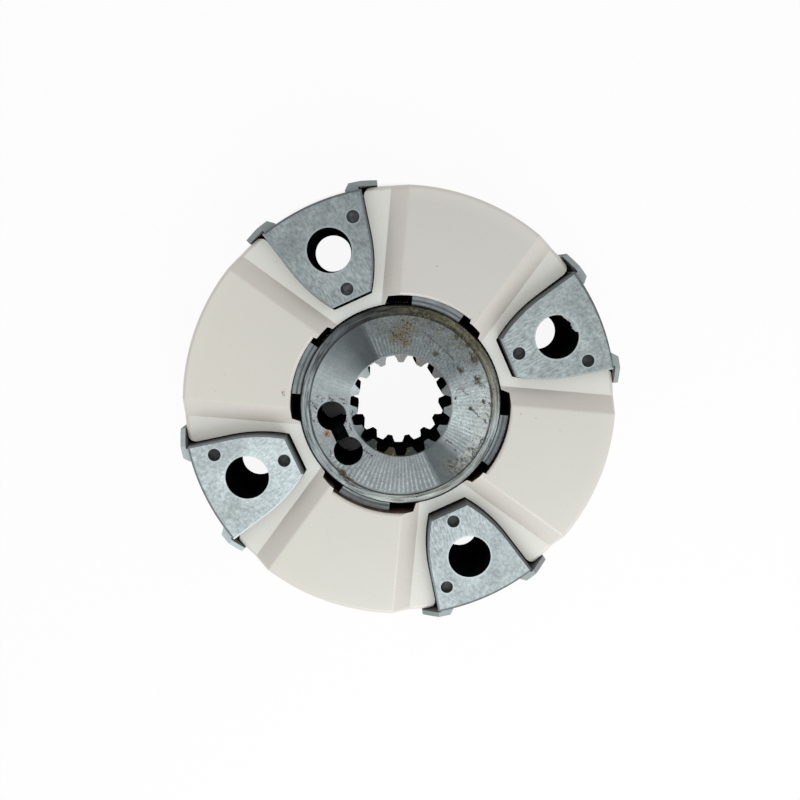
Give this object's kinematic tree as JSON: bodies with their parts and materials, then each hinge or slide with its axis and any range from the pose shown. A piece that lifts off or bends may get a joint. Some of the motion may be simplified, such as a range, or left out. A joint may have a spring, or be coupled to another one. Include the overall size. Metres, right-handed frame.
{
  "type": "splined flange coupling",
  "caption": "Torsionally stiff flange coupling: splined steel hub in a moulded plastic ring with raised lobes, cast outer inserts for flywheel bolts between them.",
  "frame": {"origin": "on the coupling's axis, in the plane of the inserts' back faces, on which it rests", "axes": "+Z along the coupling's axis towards the flywheel; +X and +Y through two of the four raised lobes, so that the flywheel bolts lie at 45 degrees to them"},
  "size_m": [0.2126, 0.2126, 0.05],
  "materials": {
    "hub_steel": "turned, with fine rings, tool chatter and a few rust stains",
    "element_plastic": "cream-white moulded plastic, smooth with a slight sheen and some specks",
    "insert_aluminium": "die-cast, matt, with machined fronts",
    "screw_black": "black oxide",
    "pin_steel": "spring steel, oiled"
  },
  "bodies": {
    "root": {"hub": "hub_steel", "flexible_element": "element_plastic", "outer_insert_1": "insert_aluminium", "inner_insert_1": "insert_aluminium", "insert_screw_1": "screw_black", "spring_pin_1": "pin_steel", "outer_insert_2": "insert_aluminium", "inner_insert_2": "insert_aluminium", "insert_screw_2": "screw_black", "spring_pin_2": "pin_steel", "outer_insert_3": "insert_aluminium", "inner_insert_3": "insert_aluminium", "insert_screw_3": "screw_black", "spring_pin_3": "pin_steel", "outer_insert_4": "insert_aluminium", "inner_insert_4": "insert_aluminium", "insert_screw_4": "screw_black", "spring_pin_4": "pin_steel", "clamp_screw_1": "screw_black", "clamp_screw_2": "screw_black"}
  },
  "joints": []
}
